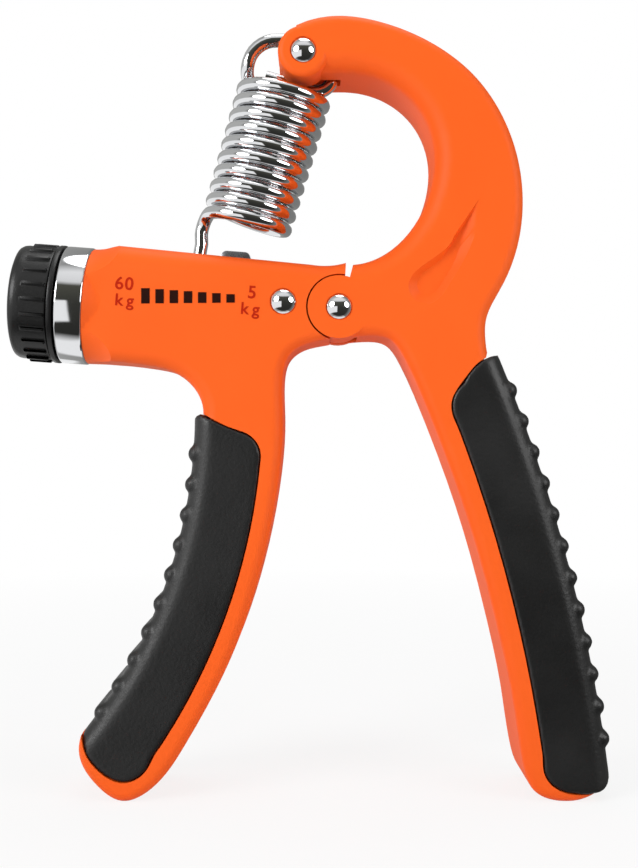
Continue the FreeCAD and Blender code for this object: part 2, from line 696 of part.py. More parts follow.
def make_carriage():
    half = CHANNEL_HALF - SIDE
    start = CARRIAGE_AT - CARRIAGE_LEN / 2
    end = start + CARRIAGE_LEN
    nut = block(start, end, half, CHANNEL_FLOOR + SIDE, NUT_TOP)
    ear_start = CARRIAGE_AT + EAR_SHIFT - EAR_LEN / 2
    ear = block(ear_start, ear_start + EAR_LEN, EAR_INSIDE + EAR_T, 0, EAR_TOP)
    ear = ear.makeFillet(EAR_ROUND, [
        e for e in ear.Edges
        if e.BoundBox.ZMin > EAR_TOP - 0.1 and e.BoundBox.YLength > 1
    ])
    body = nut.fuse(ear)
    body = body.cut([
        block(start - 1, end + 1, EAR_INSIDE, 0, 2 * EAR_TOP),
        shaft(SCREW_R + RUN, start - 1, end + 1),
        rod(HOOK_PIN, HOOK_PIN_R + FIXED, -HALF, HALF),
    ])
    return body.removeSplitter()


def make_hook_pin():
    return rod(HOOK_PIN, HOOK_PIN_R, -EAR_INSIDE - EAR_T, EAR_INSIDE + EAR_T)


# Hinge and spring fittings

def make_pivot_bush():
    return tube(PIVOT, HINGE_BUSH_R, SHANK_R + RUN, -TONGUE_HALF, TONGUE_HALF)


def make_pivot_washers():
    low = TONGUE_HALF + RUN
    front = tube(PIVOT, PIVOT_WASHER_R, SHANK_R + RUN, -low - WASHER_T, -low)
    return Part.makeCompound([front, front.mirror(Vector(0, 0, 0), Y_AXIS)])


def make_spring_sleeve():
    return tube(ANCHOR, SLEEVE_R, SHANK_R + RUN, -SLEEVE_HALF, SLEEVE_HALF)


def make_sleeve_spacers():
    low = SLEEVE_HALF + RUN
    front = tube(ANCHOR, SPACER_R, SHANK_R + RUN, -low - SPACER_T, -low)
    return Part.makeCompound([front, front.mirror(Vector(0, 0, 0), Y_AXIS)])


# The spring, in the coil's own directions: X to its right side, Z up its axis

def biarc(start, start_way, end, end_way):
    """Two arcs that leave start and reach end in the given directions."""
    start_way = Vector(start_way).normalize()
    end_way = Vector(end_way).normalize()
    gap = end - start
    both = start_way + end_way
    # Equal handles d, with |gap - d * both| = 2 d
    a = both.dot(both) - 4
    b = -2 * gap.dot(both)
    c = gap.dot(gap)
    if abs(a) < 1e-9:
        d = -c / b
    else:
        d = (-b - math.sqrt(b * b - 4 * a * c)) / (2 * a)
    knee_a = start + start_way * d
    knee_b = end - end_way * d
    joint = (knee_a + knee_b) * 0.5
    arcs = []
    for p, q, knee in ((start, joint, knee_a), (joint, end, knee_b)):
        chord_mid = (p + q) * 0.5
        to_knee = knee - chord_mid
        half_chord = (q - p).Length / 2
        if to_knee.Length < 1e-4 * half_chord:
            arcs.append(Part.makeLine(p, q))
            continue
        # The arc's middle lies on the line from the chord's middle to the knee
        lean = math.atan2(to_knee.Length, half_chord)
        top = chord_mid + to_knee.normalize() * (half_chord * math.tan(lean / 2))
        arcs.append(Part.Arc(p, top, q).toShape())
    return arcs


def on_coil(turn):
    """A point of the coil and its direction. The turn, in degrees, grows down the coil from its left."""
    u = math.radians(turn)
    pitch = 2 * WIRE_R + TURN_GAP
    front_top = pitch * (TURNS - 1) / 2
    height = front_top - pitch * (turn - FRONT) / FULL_TURN
    narrowing = (COIL_R_LOW - COIL_R_TOP) / (FULL_TURN * TURNS)
    radius = COIL_R_TOP + narrowing * turn
    point = Vector(-radius * math.cos(u), radius * math.sin(u), height)
    way = Vector(radius * math.sin(u), radius * math.cos(u), -pitch / (2 * math.pi))
    way += Vector(-math.cos(u), math.sin(u), 0) * math.degrees(narrowing)
    return point, way.normalize()


def spring_path():
    up, down = Z_AXIS, Z_AXIS * -1
    right, left = X_AXIS, X_AXIS * -1
    pull_top = COIL.inverse().multVec(at(ANCHOR))
    pull_low = COIL.inverse().multVec(at(arm_point(*HOOK_PIN)))
    bar = pull_top.z - SLEEVE_R - LOOP_GAP - WIRE_R
    crown = Vector(pull_top.x - 0.4, 0, pull_top.z + SLEEVE_R + LOOP_GAP + WIRE_R)
    corner = TOP_LOOP_CORNER_R
    side = COIL_R_TOP + 0.1
    foot = Vector(pull_low.x, 0, pull_low.z - HOOK_PIN_R - LOOP_GAP - WIRE_R)
    coil_top, coil_way = on_coil(LOOP_TURN)
    coil_end, end_way = on_coil(FULL_TURN * TURNS - LOOP_TURN)
    shoulder = Vector(-COIL_R_TOP - TOP_LOOP_OUT, 0, coil_top.z + 3.4)
    leg = Vector(-COIL_R_LOW - LOW_LOOP_OUT, 0, coil_end.z - 3.4)
    leg_way = Vector(0.06, 0, -1).normalize()
    low_left = foot + left * (LOW_LOOP_R + LOW_LOOP_OUT) + up * LOW_LOOP_R
    low_right = foot + (right + up) * LOW_LOOP_R

    path = [Part.makeLine(Vector(TOP_TIP, 0, bar), Vector(side - corner, 0, bar))]
    path += biarc(Vector(side - corner, 0, bar), right, Vector(side, 0, bar + corner), up)
    path += biarc(Vector(side, 0, bar + corner), up, crown, left)
    path += biarc(crown, left, shoulder, down)
    path += biarc(shoulder, down, coil_top, coil_way)
    steps = 4 * TURNS
    for i in range(steps):
        spots = [LOOP_TURN + (FULL_TURN * TURNS - 2 * LOOP_TURN) * k / steps for k in (i, i + 1)]
        (p, p_way), (q, q_way) = on_coil(spots[0]), on_coil(spots[1])
        path += biarc(p, p_way, q, q_way)
    path += biarc(coil_end, end_way, leg, leg_way)
    path += biarc(leg, leg_way, low_left, down)
    path += biarc(low_left, down, foot, right)
    path += biarc(foot, right, low_right, up)
    path.append(Part.makeLine(low_right, low_right + up * LOW_TIP))
    return path


def least_gap(path, step=0.3):
    """The least distance between the wire's own surfaces, away from neighbouring points."""
    spots = []
    run = 0.0
    for edge in path:
        count = max(2, int(edge.Length / step))
        for k in range(count):
            span = edge.LastParameter - edge.FirstParameter
            spots.append((run + edge.Length * k / count, edge.valueAt(edge.FirstParameter + span * k / count)))
        run += edge.Length
    near = 1e9
    for i, (run_a, a) in enumerate(spots):
        for run_b, b in spots[i + 1:]:
            if run_b - run_a > 5 * WIRE_R:
                near = min(near, (a.x - b.x) ** 2 + (a.y - b.y) ** 2 + (a.z - b.z) ** 2)
    return math.sqrt(near) - 2 * WIRE_R


def make_spring():
    path = spring_path()
    print("least gap of the spring to itself: %.3f mm" % least_gap(path))
    wire = Part.Wire(path)
    way = path[0].tangentAt(path[0].FirstParameter)
    start = Part.Wire(Part.makeCircle(WIRE_R, path[0].Vertexes[0].Point, way))
    tube_of = wire.makePipeShell([start], True, False)
    tube_of.Placement = COIL
    return tube_of


if __name__ == "__main__":
    os.makedirs("parts", exist_ok=True)
    left_handle, left_grip = make_left()
    right_handle, right_grip = make_right()
    nodes = {
        "left_handle": left_handle,
        "left_grip": left_grip,
        "right_handle": right_handle,
        "right_grip": right_grip,
        "chrome_ring": in_arm(make_chrome_ring()),
        "front_bush": in_arm(make_front_bush()),
        "end_block": in_arm(make_end_block()),
        "block_rivet": rivet(arm_point(*BLOCK_RIVET), HALF),
        "pivot_bush": make_pivot_bush(),
        "pivot_washers": make_pivot_washers(),
        "pivot_rivet": rivet(PIVOT, HALF),
        "top_rivet": rivet(ANCHOR, HALF),
        "knob": in_arm(make_knob()),
        "knob_cap": in_arm(make_knob_cap()),
        "knob_screw": in_arm(make_knob_screw()),
        "adjusting_screw": in_arm(make_adjusting_screw()),
        "retaining_clip": in_arm(make_retaining_clip()),
        "thrust_washer": in_arm(make_thrust_washer()),
        "spring_carriage": in_arm(make_carriage()),
        "hook_pin": in_arm(make_hook_pin()),
        "spring_sleeve": make_spring_sleeve(),
        "sleeve_spacers": make_sleeve_spacers(),
        "spring": make_spring(),
    }
    for name, shape in nodes.items():
        shape.translate(TO_ORIGIN)
        shape.exportStep("parts/%s.step" % name)
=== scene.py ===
import math

import bmesh
import bpy
from mathutils import Matrix, Vector


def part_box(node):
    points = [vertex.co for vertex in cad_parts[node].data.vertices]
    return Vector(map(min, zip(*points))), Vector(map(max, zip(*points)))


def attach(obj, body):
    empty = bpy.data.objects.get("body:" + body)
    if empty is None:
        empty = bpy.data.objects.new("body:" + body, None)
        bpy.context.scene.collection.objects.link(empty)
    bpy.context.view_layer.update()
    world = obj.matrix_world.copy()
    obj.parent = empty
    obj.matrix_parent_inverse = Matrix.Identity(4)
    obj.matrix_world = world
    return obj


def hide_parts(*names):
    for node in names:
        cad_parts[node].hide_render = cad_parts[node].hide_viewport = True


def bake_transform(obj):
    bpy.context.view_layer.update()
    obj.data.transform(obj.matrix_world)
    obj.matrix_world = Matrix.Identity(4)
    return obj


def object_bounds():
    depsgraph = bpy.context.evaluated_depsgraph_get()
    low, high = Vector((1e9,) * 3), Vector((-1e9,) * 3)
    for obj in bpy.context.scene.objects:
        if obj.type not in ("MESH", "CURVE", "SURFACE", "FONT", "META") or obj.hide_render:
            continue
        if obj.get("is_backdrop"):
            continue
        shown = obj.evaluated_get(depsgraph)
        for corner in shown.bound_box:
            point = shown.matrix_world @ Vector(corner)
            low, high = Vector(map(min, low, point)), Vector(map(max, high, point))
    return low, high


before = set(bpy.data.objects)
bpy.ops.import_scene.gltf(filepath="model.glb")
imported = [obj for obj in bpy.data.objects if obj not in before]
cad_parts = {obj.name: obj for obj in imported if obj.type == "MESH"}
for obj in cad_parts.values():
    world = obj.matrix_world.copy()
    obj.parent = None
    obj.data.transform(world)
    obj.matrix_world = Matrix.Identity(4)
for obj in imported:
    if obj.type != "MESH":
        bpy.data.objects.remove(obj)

cad_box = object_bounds()


# Camera
# The photograph is taken square on to the front, from about a quarter of a metre in front of the
# hinge's plane, level with the middle of the handles.

MM = 0.001
PHOTO_HIGH = 868                     # pixels
FOCAL_PIXELS = 1200.0
SENSOR = 36.0
CAMERA_AT = Vector((2.09, -246.0, 72.5))
camera = bpy.data.objects.new("camera", bpy.data.cameras.new("camera"))
bpy.context.scene.collection.objects.link(camera)
bpy.context.scene.camera = camera
camera.data.sensor_width = SENSOR
camera.data.lens = SENSOR * FOCAL_PIXELS / PHOTO_HIGH
camera.location = CAMERA_AT * MM
camera.rotation_euler = (math.radians(90), 0, 0)
camera.data.clip_start = 0.01
camera.data.clip_end = 20


# Floor, backdrop and lamps
# A pale studio: white paper under the object and white all round, one broad lamp at each side and one
# above. What shiny metal mirrors is a bright ceiling over a dim room, with one white card low at the left.

def tone(code):
    """Turns an sRGB hex value to the linear colour that a socket takes."""
    parts = [int(code[i:i + 2], 16) / 255 for i in (1, 3, 5)]
    return [p / 12.92 if p <= 0.04045 else ((p + 0.055) / 1.055) ** 2.4 for p in parts] + [1.0]


def add(tree, kind, settings=None, links=None):
    """Adds a node of a kind, sets its attributes and sockets, and links its inputs."""
    node = tree.nodes.new(kind)
    for key, value in (settings or {}).items():
        if isinstance(key, int) or key in node.inputs:
            node.inputs[key].default_value = value
        else:
            setattr(node, key, value)
    for key, source in (links or {}).items():
        tree.links.new(source, node.inputs[key])
    return node


def blank(name):
    """A new node material with nothing but its output."""
    material = bpy.data.materials.new(name)
    material.use_nodes = True
    material.node_tree.nodes.clear()
    return material, material.node_tree, material.node_tree.nodes.new("ShaderNodeOutputMaterial")


world = bpy.data.worlds.new("studio")
bpy.context.scene.world = world
world.use_nodes = True
tree = world.node_tree
tree.nodes.clear()
WORLD_STRENGTH = 0.18
way = add(tree, "ShaderNodeTexCoord")
axes = add(tree, "ShaderNodeSeparateXYZ", links={"Vector": way.outputs["Generated"]})

# The room before the object goes by height, from the floor to the ceiling, and the wall behind it from
# the left to the right.
height = add(tree, "ShaderNodeMapRange", {"From Min": -1.0, "From Max": 1.0}, {"Value": axes.outputs["Z"]})
sideways = add(tree, "ShaderNodeMapRange", {"From Min": -0.6, "From Max": 0.6}, {"Value": axes.outputs["X"]})
painted = []
for run, stops in (
    (height, [(0.00, "#FFFFFF"), (0.015, "#F0F0F0"), (0.03, "#2E2E2C"), (0.50, "#3A3A36"),
              (0.78, "#505048"), (0.83, "#E8E8E8"), (1.00, "#FFFFFF")]),
    (sideways, [(0.00, "#BCBCBA"), (0.50, "#8A8A88"), (1.00, "#848482")]),
):
    blend = add(tree, "ShaderNodeValToRGB", links={"Fac": run.outputs["Result"]})
    while len(blend.color_ramp.elements) < len(stops):
        blend.color_ramp.elements.new(0.5)
    for element, (place, code) in zip(blend.color_ramp.elements, stops):
        element.position = place
        element.color = tone(code)
    painted.append(blend.outputs["Color"])
room, wall = painted
table = add(tree, "ShaderNodeMapRange", {"From Min": -0.80, "From Max": -0.86}, {"Value": axes.outputs["Z"]})
behind = add(tree, "ShaderNodeMixRGB", {"Color2": tone("#FFFFFF")},
             {"Fac": table.outputs["Result"], "Color1": wall})
front = add(tree, "ShaderNodeMapRange", {"From Min": -0.15, "From Max": -0.45}, {"Value": axes.outputs["Y"]})
around = add(tree, "ShaderNodeMixRGB",
             links={"Fac": front.outputs["Result"], "Color1": behind.outputs["Color"], "Color2": room})

# The white card stands left of a line and between two heights.
card_side = add(tree, "ShaderNodeMapRange", {"From Min": -0.20, "From Max": -0.23},
                {"Value": axes.outputs["X"]})
card_top = add(tree, "ShaderNodeMapRange", {"From Min": 0.10, "From Max": 0.06},
               {"Value": axes.outputs["Z"]})
card_foot = add(tree, "ShaderNodeMapRange", {"From Min": -0.60, "From Max": -0.54},
                {"Value": axes.outputs["Z"]})
below_top = add(tree, "ShaderNodeMath", {"operation": "MULTIPLY"},
                {0: card_side.outputs["Result"], 1: card_top.outputs["Result"]})
card = add(tree, "ShaderNodeMath", {"operation": "MULTIPLY"},
           {0: below_top.outputs[0], 1: card_foot.outputs["Result"]})
lit = add(tree, "ShaderNodeMixRGB", {"Color2": (1, 1, 1, 1)},
          {"Fac": card.outputs[0], "Color1": around.outputs["Color"]})

# Matt surfaces get a soft even light, shiny ones mirror the room, and the camera sees plain white.
soft = add(tree, "ShaderNodeBackground", {"Color": (1, 1, 1, 1), "Strength": WORLD_STRENGTH})
mirrored = add(tree, "ShaderNodeBackground", {"Strength": 1.0}, {"Color": lit.outputs["Color"]})
seen = add(tree, "ShaderNodeBackground", {"Color": (1, 1, 1, 1), "Strength": 1.0})
ray = add(tree, "ShaderNodeLightPath")
glossy = add(tree, "ShaderNodeMixShader",
             links={0: ray.outputs["Is Glossy Ray"], 1: soft.outputs[0], 2: mirrored.outputs[0]})
final = add(tree, "ShaderNodeMixShader",
            links={0: ray.outputs["Is Camera Ray"], 1: glossy.outputs[0], 2: seen.outputs[0]})
add(tree, "ShaderNodeOutputWorld", links={"Surface": final.outputs[0]})

# White paper, matt, which the camera sees fade into the backdrop away from the object.
FLOOR_HALF = 3.0                     # metres
paper, tree, out = blank("white_paper_floor")
matt = add(tree, "ShaderNodeBsdfDiffuse", {"Color": tone("#F2F2F2")})
glow = add(tree, "ShaderNodeEmission", {"Color": (1, 1, 1, 1), "Strength": 1.0})
place = add(tree, "ShaderNodeTexCoord")
reach = add(tree, "ShaderNodeVectorMath", {"operation": "LENGTH"}, {0: place.outputs["Object"]})
fade = add(tree, "ShaderNodeMapRange", {"From Min": 0.08, "From Max": 0.40, "To Min": 0.84, "To Max": 1.0},
           {"Value": reach.outputs["Value"]})
ray = add(tree, "ShaderNodeLightPath")
share = add(tree, "ShaderNodeMath", {"operation": "MULTIPLY"},
            {0: ray.outputs["Is Camera Ray"], 1: fade.outputs["Result"]})
mix = add(tree, "ShaderNodeMixShader", links={0: share.outputs[0], 1: matt.outputs[0], 2: glow.outputs[0]})
tree.links.new(mix.outputs[0], out.inputs["Surface"])
bm = bmesh.new()
bmesh.ops.create_grid(bm, x_segments=1, y_segments=1, size=FLOOR_HALF)
mesh = bpy.data.meshes.new("floor")
bm.to_mesh(mesh)
bm.free()
floor = bpy.data.objects.new("floor", mesh)
mesh.materials.append(paper)
bpy.context.scene.collection.objects.link(floor)
floor.visible_glossy = False
floor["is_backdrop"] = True

LAMP_AIM = Vector((0, 0, 0.08))      # metres, as the lamps' places and sizes
for name, power, size, place in (
    ("lamp_left", 4.1, 0.45, (-0.55, -0.45, 0.35)),
    ("lamp_right", 2.3, 0.45, (0.60, -0.40, 0.30)),
    ("lamp_top", 1.9, 0.50, (0.05, 0.05, 0.75)),
):
    lamp = bpy.data.objects.new(name, bpy.data.lights.new(name, "AREA"))
    lamp.data.energy = power
    lamp.data.shape = "DISK"
    lamp.data.size = size
    lamp.location = place
    lamp.rotation_euler = (LAMP_AIM - Vector(place)).to_track_quat("-Z", "Y").to_euler()
    bpy.context.scene.collection.objects.link(lamp)
bpy.context.scene.view_settings.view_transform = "Standard"


# Orange mouldings
# Two thick ABS mouldings: the left one is the adjuster's housing with a handle under it, and the right
# one is the hooked arm with its handle. Both are injection moulded in halves that meet at the middle
# plane, which leaves a fine parting line round their edges.

# ABS from a satin tool: an even, saturated orange with a soft sheen and faint flow marks. The tool's
# grain is too fine to show, so it is drawn as coarse as it needs to be.
FLOW_MARK = 22.2
TOOL_GRAIN = 0.714
PARTING_HALF = 0.06                  # the parting line's half width, and where its flanks end
PARTING_EDGE = 0.16
abs_orange, tree, out = blank("moulded_orange_abs")
place = add(tree, "ShaderNodeTexCoord")
cloud = add(tree, "ShaderNodeTexNoise", {"Scale": 1 / (FLOW_MARK * MM), "Detail": 3.0},
            {"Vector": place.outputs["Object"]})
shade = add(tree, "ShaderNodeMixRGB", {"Color1": tone("#FC661C"), "Color2": tone("#F65E13")},
            {"Fac": cloud.outputs["Fac"]})
grain = add(tree, "ShaderNodeTexNoise", {"Scale": 1 / (TOOL_GRAIN * MM), "Detail": 2.0},
            {"Vector": place.outputs["Object"]})
axes = add(tree, "ShaderNodeSeparateXYZ", links={"Vector": place.outputs["Object"]})
across = add(tree, "ShaderNodeMath", {"operation": "ABSOLUTE"}, {0: axes.outputs["Y"]})
parting = add(tree, "ShaderNodeMapRange",
              {"From Min": PARTING_HALF * MM, "From Max": PARTING_EDGE * MM, "To Min": 1.0, "To Max": 0.0},
              {"Value": across.outputs[0]})
relief = add(tree, "ShaderNodeMath", {"operation": "MULTIPLY_ADD", 1: 0.25},
             {0: grain.outputs["Fac"], 2: parting.outputs["Result"]})
bump = add(tree, "ShaderNodeBump", {"Strength": 0.25, "Distance": 0.08 * MM}, {"Height": relief.outputs[0]})
body = add(tree, "ShaderNodeBsdfPrincipled", {"Roughness": 0.52, "IOR": 1.53, "Specular IOR Level": 0.2},
           {"Base Color": shade.outputs["Color"], "Normal": bump.outputs["Normal"]})
tree.links.new(body.outputs[0], out.inputs["Surface"])


def settle(name, bm, rides, material, stands_for=(), smooth_angle=32.0):
    """Makes a finished piece: smooth faces with crisp edges, its body, slot and the nodes it stands for."""
    limit = math.radians(smooth_angle)
    for edge in bm.edges:
        edge.smooth = len(edge.link_faces) == 2 and edge.calc_face_angle(0) < limit
    for face in bm.faces:
        face.smooth = True
    mesh = bpy.data.meshes.new(name)
    bm.to_mesh(mesh)
    bm.free()
    mesh.materials.append(material)
    piece = bpy.data.objects.new(name, mesh)
    bpy.context.scene.collection.objects.link(piece)
    if rides:
        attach(piece, rides)
    if stands_for:
        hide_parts(*stands_for)
    return piece


def from_node(node):
    """A merged copy of a node's mesh, ready to be finished."""
    bm = bmesh.new()
    bm.from_mesh(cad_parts[node].data)
    bmesh.ops.remove_doubles(bm, verts=bm.verts, dist=0.002 * MM)
    return bm


def even_shading(piece):
    """Lets large flat faces set the shading, so that their roundings don't bleed into them."""
    weigh = piece.modifiers.new("even_shading", "WEIGHTED_NORMAL")
    weigh.mode = "FACE_AREA"
    weigh.weight = 100
    weigh.keep_sharp = True


for side in ("left", "right"):
    moulding = settle(side + "_moulding", from_node(side + "_handle"), side + "_arm",
                      abs_orange, [side + "_handle"])
    even_shading(moulding)


# Printed scale
# The pull's scale is pad printed on the housing's front, in line with the screw: 60 kg at the knob's
# end, 5 kg at the hinge's end, and between them seven bars that grow shorter.

# Pad-printing ink: a thin matt film of dark brown, and its thin strokes let the orange through.
INK_MOTTLE = 1.11
inks = []
for name, first, second in (
    ("pad_printed_ink", "#1E0A05", "#2E0E06"),
    ("thin_printed_ink", "#C4280A", "#AE2208"),
):
    film, tree, out = blank(name)
    place = add(tree, "ShaderNodeTexCoord")
    cloud = add(tree, "ShaderNodeTexNoise", {"Scale": 1 / (INK_MOTTLE * MM), "Detail": 3.0},
                {"Vector": place.outputs["Object"]})
    shade = add(tree, "ShaderNodeMixRGB", {"Color1": tone(first), "Color2": tone(second)},
                {"Fac": cloud.outputs["Fac"]})
    body = add(tree, "ShaderNodeBsdfPrincipled", {"Roughness": 0.8, "Specular IOR Level": 0.1},
               {"Base Color": shade.outputs["Color"]})
    tree.links.new(body.outputs[0], out.inputs["Surface"])
    inks.append(film)
full_ink, thin_ink = inks


def centre_of(node):
    """The middle of a node's box, in millimetres."""
    low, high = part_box(node)
    return (Vector(low) + Vector(high)) / 2 / MM


FACE_Y = -10.25                      # of the housing's front
FILM_HALF = 0.04                     # half of the ink's thickness
ARM_TILT = 4.2                       # degrees by which the housing falls towards the hinge
DRAWN_HINGE = Vector((6.85, 0, 97.7))            # the scale's places are given with the hinge here
FIRST_BAR = Vector((-31.2, 0, 99.8))
BAR_STEP = Vector((2.79, 0, -0.085))
BARS = 7
BAR_WIDE = 1.65
SHORTEST = 1.65
TALLEST = 3.0
STROKE_GROWTH = 0.05                 # what each side of a letter's stroke gains in printing
hinge_at = centre_of("pivot_rivet")
print_frame = Matrix.Translation((hinge_at.x - DRAWN_HINGE.x, FACE_Y - FILM_HALF, hinge_at.z - DRAWN_HINGE.z))
bars = bmesh.new()
for i in range(BARS):
    tall = TALLEST - (TALLEST - SHORTEST) * i / (BARS - 1)
    bmesh.ops.create_cube(bars, size=1.0, matrix=print_frame @ Matrix.Translation(FIRST_BAR + i * BAR_STEP)
                          @ Matrix.Diagonal((BAR_WIDE, 2 * FILM_HALF, tall, 1)))
bmesh.ops.transform(bars, matrix=Matrix.Scale(MM, 4), verts=bars.verts)
settle("scale_bars", bars, "left_arm", full_ink)

for name, words, size, spaced, place in (
    ("scale_high_number", "60", 3.5, 1.12, (-37.3, 101.2)),
    ("scale_high_unit", "kg", 3.3, 1.45, (-37.3, 98.0)),
    ("scale_low_number", "5", 3.5, 1.0, (-11.2, 99.4)),
    ("scale_low_unit", "kg", 3.3, 1.45, (-12.6, 96.3)),
):
    line = bpy.data.curves.new(name, "FONT")
    line.body = words
    line.size = size
    line.space_character = spaced
    line.extrude = FILM_HALF
    line.offset = STROKE_GROWTH
    text = bpy.data.objects.new(name + "_line", line)
    mesh = bpy.data.meshes.new_from_object(text)
    bpy.data.objects.remove(text)
    bm = bmesh.new()
    bm.from_mesh(mesh)
    bpy.data.meshes.remove(mesh)
    turn = Matrix.Rotation(math.radians(ARM_TILT), 4, "Y") @ Matrix.Rotation(math.radians(90), 4, "X")
    seat = print_frame @ Matrix.Translation((place[0], 0, place[1])) @ turn
    bmesh.ops.transform(bm, matrix=Matrix.Scale(MM, 4) @ seat, verts=bm.verts)
    settle(name, bm, "left_arm", thin_ink)


# Grips
# Soft black rubber, moulded over the front, the outer edge and the back of each handle, with finger
# ribs across the outer edge.

# Thermoplastic rubber: near black and dry, in places rubbed a little smoother, with the grain of an
# eroded tool, which is drawn coarser than it is so that it shows.
RUBBED_PATCH = 16.7
ERODED_GRAIN = 0.667
rubber, tree, out = blank("moulded_black_rubber")
place = add(tree, "ShaderNodeTexCoord")
cloud = add(tree, "ShaderNodeTexNoise", {"Scale": 1 / (RUBBED_PATCH * MM), "Detail": 4.0},
            {"Vector": place.outputs["Object"]})
shade = add(tree, "ShaderNodeMixRGB", {"Color1": tone("#121212"), "Color2": tone("#1C1C1C")},
            {"Fac": cloud.outputs["Fac"]})
grain = add(tree, "ShaderNodeTexNoise", {"Scale": 1 / (ERODED_GRAIN * MM), "Detail": 2.0},
            {"Vector": place.outputs["Object"]})
bump = add(tree, "ShaderNodeBump", {"Strength": 0.3, "Distance": 0.2 * MM}, {"Height": grain.outputs["Fac"]})
rubbed = add(tree, "ShaderNodeMapRange", {"From Min": 0.3, "From Max": 0.7, "To Min": 0.36, "To Max": 0.52},
             {"Value": cloud.outputs["Fac"]})
body = add(tree, "ShaderNodeBsdfPrincipled", {"IOR": 1.5},
           {"Base Color": shade.outputs["Color"], "Normal": bump.outputs["Normal"],
            "Roughness": rubbed.outputs["Result"]})
tree.links.new(body.outputs[0], out.inputs["Surface"])

for side in ("left", "right"):
    grip = settle(side + "_rubber_grip", from_node(side + "_grip"), side + "_arm", rubber,
                  [side + "_grip"])
    skin = grip.modifiers.new("one_skin", "REMESH")
    skin.mode = "VOXEL"
    skin.voxel_size = 0.42 * MM
    skin.use_smooth_shade = True
    soften = grip.modifiers.new("soft_edges", "SMOOTH")
    soften.factor = 0.5
    soften.iterations = 4


# Bearings
# The front bush is turned steel pressed into the housing's end, and the hinge bush lies in the tongue
# with a nylon washer at each side. None of them shows more than an edge.

# Turned steel: bright, with the uneven sheen that fine tool marks and a little oil give, drawn coarser
# than they are.
TOOL_MARK = 0.556
turned_steel, tree, out = blank("turned_steel")
place = add(tree, "ShaderNodeTexCoord")
marks = add(tree, "ShaderNodeTexNoise", {"Scale": 1 / (TOOL_MARK * MM), "Detail": 2.0},
            {"Vector": place.outputs["Object"]})
sheen = add(tree, "ShaderNodeMapRange", {"To Min": 0.24, "To Max": 0.38}, {"Value": marks.outputs["Fac"]})
body = add(tree, "ShaderNodeBsdfPrincipled", {"Base Color": tone("#B4B5B8"), "Metallic": 1.0},
           {"Roughness": sheen.outputs["Result"]})
tree.links.new(body.outputs[0], out.inputs["Surface"])

# Natural nylon: waxy off-white that lets a little light in.
NYLON_CLOUD = 2.5
nylon, tree, out = blank("natural_nylon")
place = add(tree, "ShaderNodeTexCoord")
cloud = add(tree, "ShaderNodeTexNoise", {"Scale": 1 / (NYLON_CLOUD * MM), "Detail": 2.0},
            {"Vector": place.outputs["Object"]})
shade = add(tree, "ShaderNodeMixRGB", {"Color1": tone("#E4E1D6"), "Color2": tone("#D8D4C6")},
            {"Fac": cloud.outputs["Fac"]})
body = add(tree, "ShaderNodeBsdfPrincipled",
           {"Roughness": 0.45, "Subsurface Weight": 0.1, "Subsurface Scale": 1.0 * MM},
           {"Base Color": shade.outputs["Color"]})
tree.links.new(body.outputs[0], out.inputs["Surface"])

KNOB_END = Vector((-55.898, 0, 1.398))           # of the housing, from the hinge
adjuster = (Matrix.Translation(hinge_at + KNOB_END)
            @ Matrix.Rotation(math.radians(90 + ARM_TILT), 4, "Y"))


def crossways(middle):
    """The place of a part that lies across the object, from front to back."""
    return Matrix.Translation(middle) @ Matrix.Rotation(math.radians(90), 4, "X")


def lathe(profile, steps=72, ease=0.0, closed=True):
    """A turned part about local Z, from (radius, height) points, with its sharp corners eased."""
    bm = bmesh.new()
    verts = [bm.verts.new((r, 0, z)) for r, z in profile]
    ends = verts[1:] + verts[:1] if closed else verts[1:]
    edges = [bm.edges.new(pair) for pair in zip(verts, ends)]
    bmesh.ops.spin(bm, geom=verts + edges, cent=(0, 0, 0), axis=(0, 0, 1), angle=math.tau, steps=steps,
                   use_merge=True)
    bmesh.ops.remove_doubles(bm, verts=bm.verts, dist=0.001)
    bmesh.ops.recalc_face_normals(bm, faces=bm.faces)
    if ease:
        relieve(bm, ease)
    return bm


def relieve(bm, width, segments=2, sharper=35.0):
    """Rounds every edge that is sharper than an angle."""
    picked = [e for e in bm.edges if len(e.link_faces) == 2 and e.calc_face_angle(0) > math.radians(sharper)]
    bmesh.ops.bevel(bm, geom=picked, offset=width, segments=segments, profile=0.5, affect="EDGES",
                    clamp_overlap=True, material=-1)


def both_ends(bm, merge=-1):
    """Adds the far half, or the far one of two, to a part that is alike at both ends."""
    bmesh.ops.mirror(bm, geom=bm.verts[:] + bm.edges[:] + bm.faces[:], axis="Z", merge_dist=merge)
    bmesh.ops.recalc_face_normals(bm, faces=bm.faces)
    return bm


def stand(bm, matrix):
    """Brings a part from its own millimetres to its place in metres."""
    bmesh.ops.transform(bm, matrix=Matrix.Scale(MM, 4) @ matrix, verts=bm.verts)
    return bm


JOURNAL_BORE_R = 3.05
FRONT_BUSH_R = 5.4
FRONT_BUSH_LONG = 10.48
COLLAR_R = 6.8
COLLAR_T = 1.2
bush = lathe([(JOURNAL_BORE_R, 0.0), (COLLAR_R, 0.0), (COLLAR_R, COLLAR_T), (FRONT_BUSH_R, COLLAR_T),
              (FRONT_BUSH_R, FRONT_BUSH_LONG), (JOURNAL_BORE_R, FRONT_BUSH_LONG)], ease=0.15)
settle("turned_front_bush", stand(bush, adjuster), "left_arm", turned_steel, ["front_bush"])

